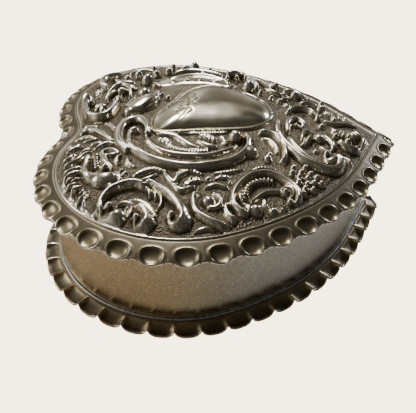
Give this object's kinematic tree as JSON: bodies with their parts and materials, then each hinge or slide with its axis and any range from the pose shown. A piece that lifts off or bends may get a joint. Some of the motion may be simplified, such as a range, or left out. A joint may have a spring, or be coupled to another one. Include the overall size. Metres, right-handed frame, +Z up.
{
  "type": "trinket box",
  "caption": "Heart-shaped hinged trinket box in embossed silver sheet with crimped pie-crust rims, a domed scrollwork lid, a plain oval cartouche and a velvet lining.",
  "frame": {"origin": "middle of the footprint's bounding box, on the surface the box stands on", "axes": "+Z up; -Y towards the tip of the heart; +Y towards the cleft, where the hinge is; the box is symmetric about X = 0 apart from the embossing"},
  "size_m": [0.105, 0.0964, 0.0334],
  "materials": {
    "silver": "aged polished silver, tarnished brown in the hollows",
    "pin_wire": "drawn wire",
    "velvet": "short-pile velvet, deep red",
    "card": "plain board"
  },
  "bodies": {
    "box": {"base_plate": "silver", "body_wall": "silver", "floor_card": "card", "floor_pad": "velvet", "side_lining": "velvet", "body_hinge_bearer": "silver", "body_knuckles": "silver", "hinge_pin": "pin_wire"},
    "lid": {"lid_plate": "silver", "lid_bezel": "silver", "lid_hinge_bearer": "silver", "lid_knuckles": "silver"}
  },
  "joints": [
    {"name": "lid_hinge", "type": "hinge", "parent": "box", "child": "lid", "pos_m": [0, 0.04423, 0.0188], "axis": [-1, 0, 0], "range_deg": [0, 105]}
  ]
}
